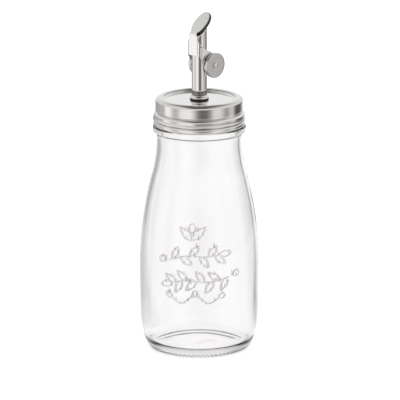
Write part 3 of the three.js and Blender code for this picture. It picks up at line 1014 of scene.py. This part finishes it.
def surround_material():
    """Light that changes with direction, whiter on the floor close by, with a painted shadow under the
    heel's sides.
    """
    material = bpy.data.materials.new("surround")
    material.use_nodes = True
    nodes, links = material.node_tree.nodes, material.node_tree.links
    nodes.clear()
    x, y, z = position(nodes, links)
    lifted = calculate(nodes, links, "SUBTRACT", z, SURROUND_MIDDLE)
    reach = distance_from(nodes, links, x, y)
    azimuth = calculate(nodes, links, "ARCTAN2", y, x)
    level = tone_ramp(nodes, links, ranged(nodes, links, azimuth, -math.pi, math.pi), LEVEL_TONES, -180, 180)
    tilt = calculate(nodes, links, "ARCTAN2", lifted, x)
    overhead = tone_ramp(nodes, links, ranged(nodes, links, tilt, 0.0, math.pi), OVERHEAD_TONES, 0, 180)
    rise = calculate(nodes, links, "ARCTAN2", lifted, reach)
    sideways = calculate(nodes, links, "ABSOLUTE", calculate(nodes, links, "DIVIDE", y, SURROUND_RADIUS))
    aside = mixed(nodes, links, ranged(nodes, links, sideways, 0.18, 0.60), overhead, (0.85, 0.85, 0.85, 1))
    high_up = ranged(nodes, links, rise, math.radians(-4), math.radians(8))
    white = (1.0, 1.0, 1.0, 1)
    near_foot = ranged(nodes, links, reach, 0.14, 0.06)
    close_by = calculate(nodes, links, "MULTIPLY", ranged(nodes, links, reach, 0.50, 0.40), 0.35)
    lighter = mixed(nodes, links, close_by, level, white)
    open_floor = mixed(nodes, links, near_foot, lighter, white)
    # painted shadow on the floor under the heel's sides, seen through the glass
    painted_heel_shadow = calculate(nodes, links, "MULTIPLY", ranged(nodes, links, reach, 0.029, 0.033),
                           ranged(nodes, links, reach, 0.06, 0.036))
    painted_heel_shadow = calculate(nodes, links, "MULTIPLY", painted_heel_shadow, ranged(nodes, links, x, 0.0, 0.01))
    across = calculate(nodes, links, "ABSOLUTE", y)
    painted_heel_shadow = calculate(nodes, links, "MULTIPLY", painted_heel_shadow, ranged(nodes, links, across, 0.010, 0.026))
    floor_tone = mixed(nodes, links, painted_heel_shadow, open_floor, (0.12, 0.115, 0.11, 1))
    glow = nodes.new("ShaderNodeEmission")
    links.new(mixed(nodes, links, high_up, floor_tone, aside), glow.inputs["Color"])
    output = nodes.new("ShaderNodeOutputMaterial")
    links.new(glow.outputs[0], output.inputs["Surface"])
    return material


def surround():
    """A closed dome over a disc, round the bottle, that only reflections and the glass see."""
    rings = [(SURROUND_RADIUS, SURROUND_FLOOR)]
    for a in np.linspace(0.0, 1.5, 16):
        rings.append((SURROUND_RADIUS * math.cos(a), SURROUND_MIDDLE + SURROUND_RADIUS * math.sin(a)))
    columns = 96
    angles = np.arange(columns) * TURN / columns
    vertices = [(0.0, 0.0, SURROUND_FLOOR)]
    for radius, z in rings:
        vertices += [(radius * math.cos(a), radius * math.sin(a), z) for a in angles]
    vertices.append((0.0, 0.0, SURROUND_MIDDLE + SURROUND_RADIUS))
    faces = []
    last = 1 + (len(rings) - 1) * columns
    for i in range(columns):
        beside = (i + 1) % columns
        faces.append((0, 1 + i, 1 + beside))
        faces.append((last + i, last + beside, len(vertices) - 1))
        for row in range(len(rings) - 1):
            low = 1 + row * columns
            faces.append((low + i, low + beside, low + columns + beside, low + columns + i))
    mesh = bpy.data.meshes.new("surround")
    mesh.from_pydata(vertices, [], faces)
    bowl = bpy.data.objects.new("surround", mesh)
    bpy.context.scene.collection.objects.link(bowl)
    bowl.rotation_euler = (0, 0, FACING_ANGLE)
    bowl.data.materials.append(surround_material())
    bowl.visible_camera = False
    bowl.visible_diffuse = False
    bowl.visible_shadow = False


def studio():
    """White air, floor, lamps and the surround."""
    scene = bpy.context.scene
    world = bpy.data.worlds.new("studio_air")
    scene.world = world
    world.use_nodes = True
    background = world.node_tree.nodes["Background"]
    background.inputs["Color"].default_value = (1.0, 1.0, 1.0, 1)
    background.inputs["Strength"].default_value = 1.15
    scene.view_settings.view_transform = "Standard"
    studio_floor()
    soft_light("key_light", -50, 1.2, 1.1, (0.9, 0.9), 7)
    soft_light("fill_light", 65, 1.0, 1.2, (0.9, 0.9), 4)
    soft_light("top_light", 150, 1.5, 0.8, (0.9, 0.9), 5)
    surround()


def studio_camera():
    """The camera, at the photograph's place and framing."""
    lens = bpy.data.cameras.new("photo_camera")
    lens.lens = CAMERA_LENS
    lens.sensor_width = 36
    lens.shift_x = CAMERA_SHIFT_X
    lens.clip_end = 50
    camera = bpy.data.objects.new("photo_camera", lens)
    bpy.context.scene.collection.objects.link(camera)
    camera.location = (
        CAMERA_DISTANCE * math.sin(CAMERA_AZIMUTH), -CAMERA_DISTANCE * math.cos(CAMERA_AZIMUTH),
        CAMERA_HEIGHT,
    )
    aim = Vector((0, 0, CAMERA_TARGET_HEIGHT)) - camera.location
    camera.rotation_euler = aim.to_track_quat("-Z", "Y").to_euler()
    bpy.context.scene.camera = camera


assemble()
studio()
studio_camera()
